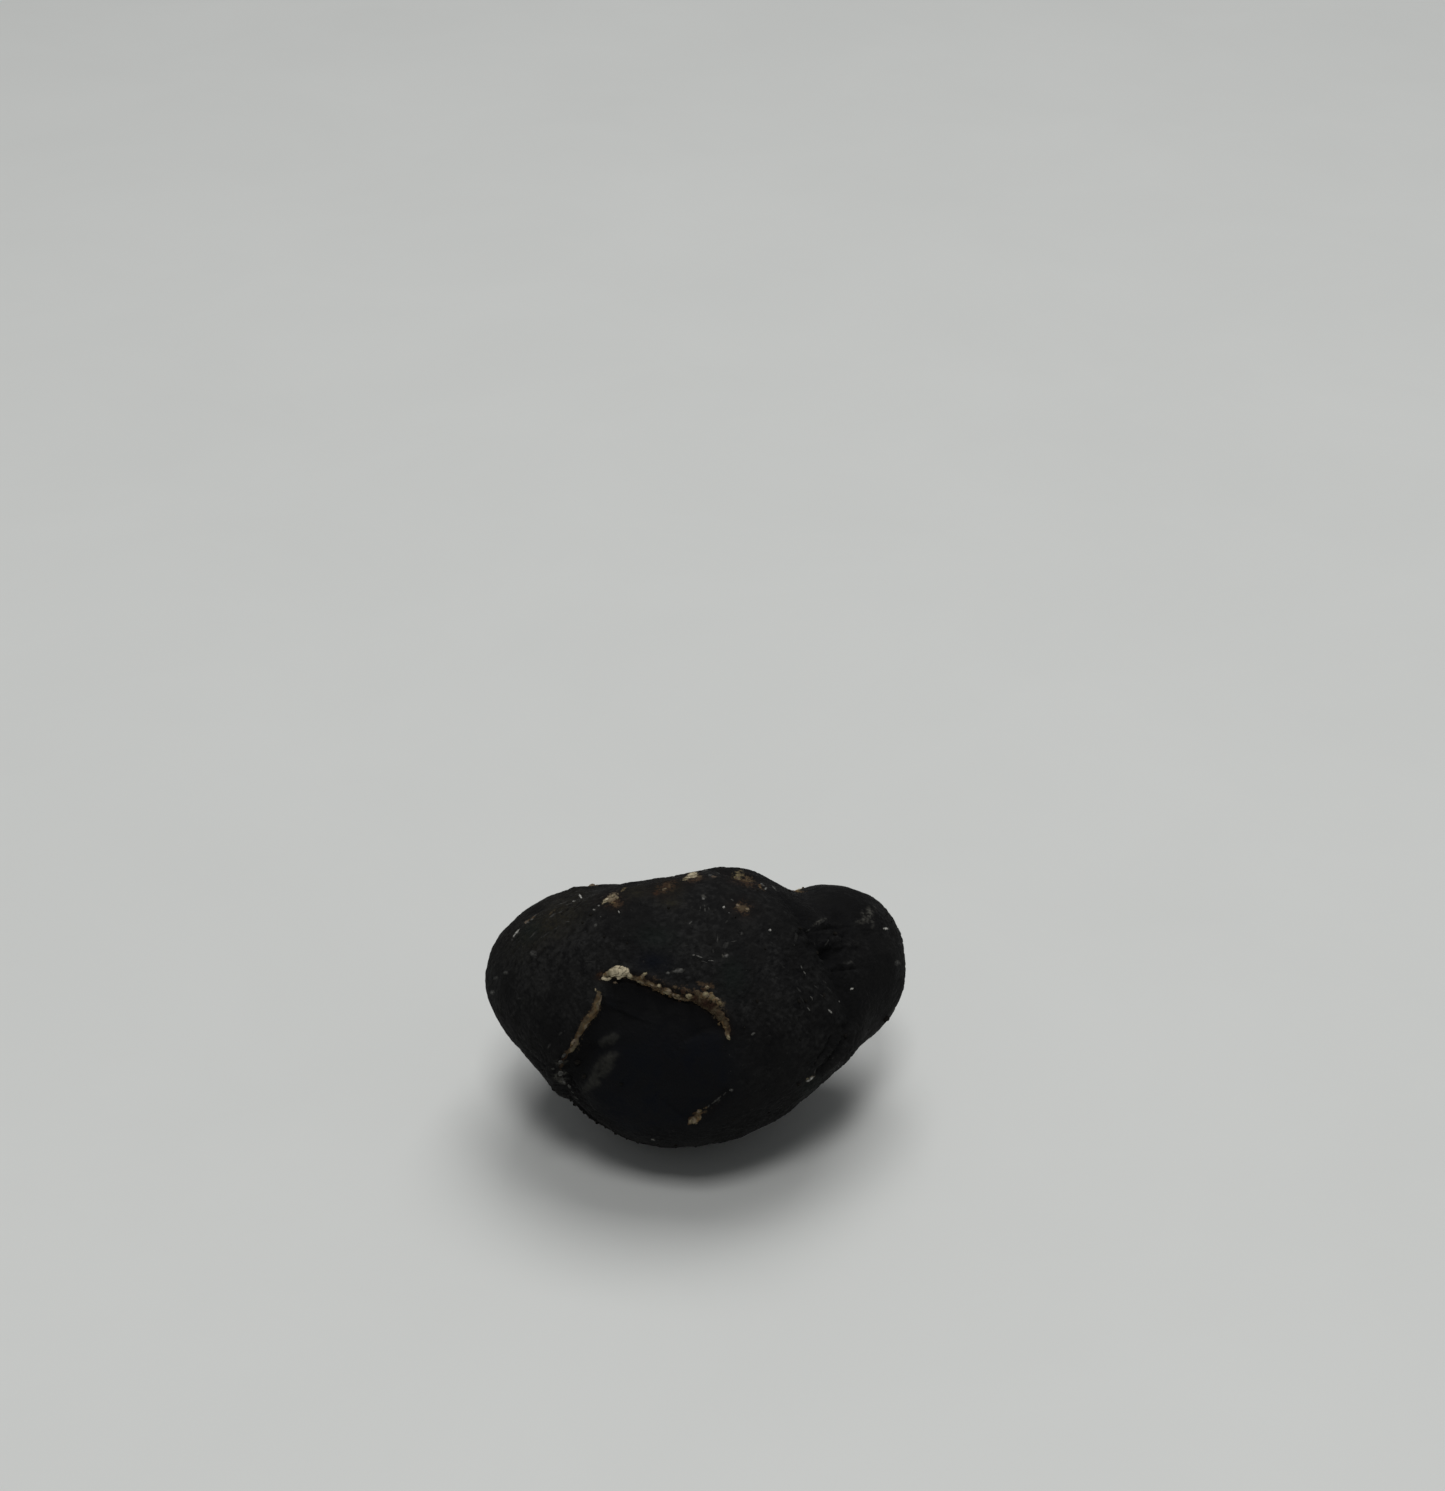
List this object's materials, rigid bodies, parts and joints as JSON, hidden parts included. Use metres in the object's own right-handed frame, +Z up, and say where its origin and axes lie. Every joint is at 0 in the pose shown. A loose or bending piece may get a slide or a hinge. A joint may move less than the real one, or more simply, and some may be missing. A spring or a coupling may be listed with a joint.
{
  "type": "black truffle",
  "caption": "Whole black truffle: a lumpy, matt black fungus body with low warts, pits and cracks that show pale flesh, resting on a small flat spot.",
  "frame": {"origin": "on the resting plane, under the middle of the truffle's box", "axes": "+X along the longest way, towards the knob on the right; +Z up from the flat spot; -Y is the front, with the pale crack"},
  "size_m": [0.0523, 0.0378, 0.0355],
  "materials": {
    "truffle_skin": "matte"
  },
  "bodies": {
    "root": {"truffle": "truffle_skin"}
  },
  "joints": []
}
